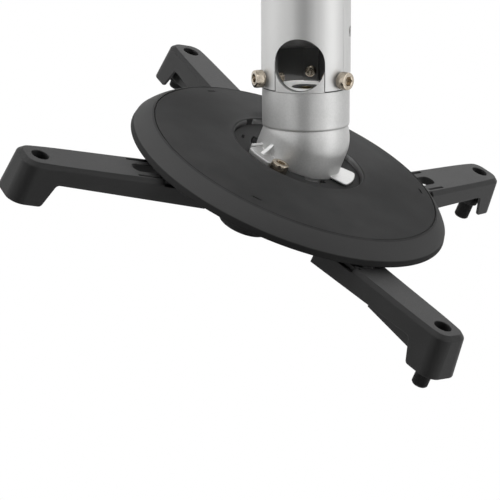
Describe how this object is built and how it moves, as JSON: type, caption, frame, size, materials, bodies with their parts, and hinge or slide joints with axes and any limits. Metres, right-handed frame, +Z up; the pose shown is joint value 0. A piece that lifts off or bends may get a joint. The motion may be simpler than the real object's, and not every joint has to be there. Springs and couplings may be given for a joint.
{
  "type": "projector ceiling mount",
  "caption": "Ceiling mount for a video projector: vertical tube, clamped ball joint, round cover disc and slotted arms with drop feet that swing and slide.",
  "frame": {"origin": "centre of the ceiling plate's top face, which lies on the ceiling", "axes": "+Z up along the tube, -Y towards the tube's window, which is the side that faces the viewer in the picture"},
  "size_m": [0.2463, 0.291, 0.2642],
  "materials": {
    "tube_silver": "satin silver paint",
    "cast_silver": "fine blasted casting",
    "screw_steel": "nickel plated",
    "inner_steel": "plain zinc plated",
    "bolt_yellow": "yellow passivated",
    "dark_plastic": "fine grained",
    "cover_plastic": "fine grained, satin",
    "arm_plastic": "fine grained",
    "sleeve_black": "black oxide, knurled"
  },
  "bodies": {
    "base": {"ceiling_plate": "tube_silver", "ceiling_tube": "tube_silver", "tube_screw_1": "screw_steel", "tube_screw_2": "screw_steel", "tube_screw_3": "screw_steel", "joint_collar": "cast_silver", "clamp_screw_1": "screw_steel", "clamp_screw_2": "screw_steel", "clamp_screw_3": "screw_steel"},
    "swivel": {"ball_bolt": "bolt_yellow", "bolt_washer": "inner_steel", "pressure_cup": "inner_steel", "cup_nut": "inner_steel"},
    "tilt_ring": {"seat_ring": "cast_silver"},
    "head": {"ball_shell": "cast_silver", "lock_screw": "screw_steel", "hub_plate": "dark_plastic", "cover_disc": "cover_plastic"},
    "pivot_left": {"pivot_bolt_left": "inner_steel", "guide_shoe_left": "inner_steel", "pivot_nut_left": "inner_steel"},
    "arm_left": {"arm_left": "arm_plastic"},
    "sleeve_left": {"foot_sleeve_left": "sleeve_black"},
    "pivot_front": {"pivot_bolt_front": "inner_steel", "guide_shoe_front": "inner_steel", "pivot_nut_front": "inner_steel"},
    "arm_front": {"arm_front": "arm_plastic"},
    "sleeve_front": {"foot_sleeve_front": "sleeve_black"},
    "pivot_right": {"pivot_bolt_right": "inner_steel", "guide_shoe_right": "inner_steel", "pivot_nut_right": "inner_steel"},
    "arm_right": {"arm_right": "arm_plastic"},
    "sleeve_right": {"foot_sleeve_right": "sleeve_black"},
    "pivot_back": {"pivot_bolt_back": "inner_steel", "guide_shoe_back": "inner_steel", "pivot_nut_back": "inner_steel"},
    "arm_back": {"arm_back": "arm_plastic"},
    "sleeve_back": {"foot_sleeve_back": "sleeve_black"}
  },
  "joints": [
    {"name": "ball_swivel", "type": "hinge", "parent": "base", "child": "swivel", "pos_m": [0, 0, -0.15], "axis": [0, 0, 1], "continuous": true},
    {"name": "ball_tilt", "type": "hinge", "parent": "swivel", "child": "tilt_ring", "pos_m": [0, 0, -0.15], "axis": [0.2807, 0.9598, 0], "range_deg": [-48.64, 1.36]},
    {"name": "head_spin", "type": "hinge", "parent": "tilt_ring", "child": "head", "pos_m": [0, 0, -0.15], "axis": [0.3849, -0.1125, 0.9161], "continuous": true},
    {"name": "arm_left_swing", "type": "hinge", "parent": "head", "child": "pivot_left", "pos_m": [-0.04973, -0.04386, -0.16484], "axis": [0.3849, -0.1125, 0.9161], "range_deg": [-15, 25]},
    {"name": "arm_left_slide", "type": "slide", "parent": "pivot_left", "child": "arm_left", "axis": [-0.7264, -0.6493, 0.2254], "range_m": [-0.008, 0.0198]},
    {"name": "sleeve_left_reach", "type": "slide", "parent": "arm_left", "child": "sleeve_left", "axis": [-0.3849, 0.1125, -0.9161], "range_m": [0, 0.0138]},
    {"name": "arm_front_swing", "type": "hinge", "parent": "head", "child": "pivot_front", "pos_m": [0.02113, -0.04639, -0.19492], "axis": [0.3849, -0.1125, 0.9161], "range_deg": [-30, 10]},
    {"name": "arm_front_slide", "type": "slide", "parent": "pivot_front", "child": "arm_front", "axis": [0.7457, -0.5469, -0.3805], "range_m": [-0.0102, 0.0156]},
    {"name": "sleeve_front_reach", "type": "slide", "parent": "arm_front", "child": "sleeve_front", "axis": [-0.3849, 0.1125, -0.9161], "range_m": [-0.011, 0.0028]},
    {"name": "arm_right_swing", "type": "hinge", "parent": "head", "child": "pivot_right", "pos_m": [0.03301, 0.04507, -0.18868], "axis": [0.3849, -0.1125, 0.9161], "range_deg": [-30, 10]},
    {"name": "arm_right_slide", "type": "slide", "parent": "pivot_right", "child": "arm_right", "axis": [0.4489, 0.89, -0.0793], "range_m": [-0.0266, 0.0022]},
    {"name": "sleeve_right_reach", "type": "slide", "parent": "arm_right", "child": "sleeve_right", "axis": [-0.3849, 0.1125, -0.9161], "range_m": [-0.0082, 0.0056]},
    {"name": "arm_back_swing", "type": "hinge", "parent": "head", "child": "pivot_back", "pos_m": [-0.03296, 0.05869, -0.15929], "axis": [0.3849, -0.1125, 0.9161], "range_deg": [-25, 15]},
    {"name": "arm_back_slide", "type": "slide", "parent": "pivot_back", "child": "arm_back", "axis": [-0.5982, 0.7255, 0.3404], "range_m": [-0.026, 0.0018]},
    {"name": "sleeve_back_reach", "type": "slide", "parent": "arm_back", "child": "sleeve_back", "axis": [-0.3849, 0.1125, -0.9161], "range_m": [-0.0018, 0.012]}
  ]
}
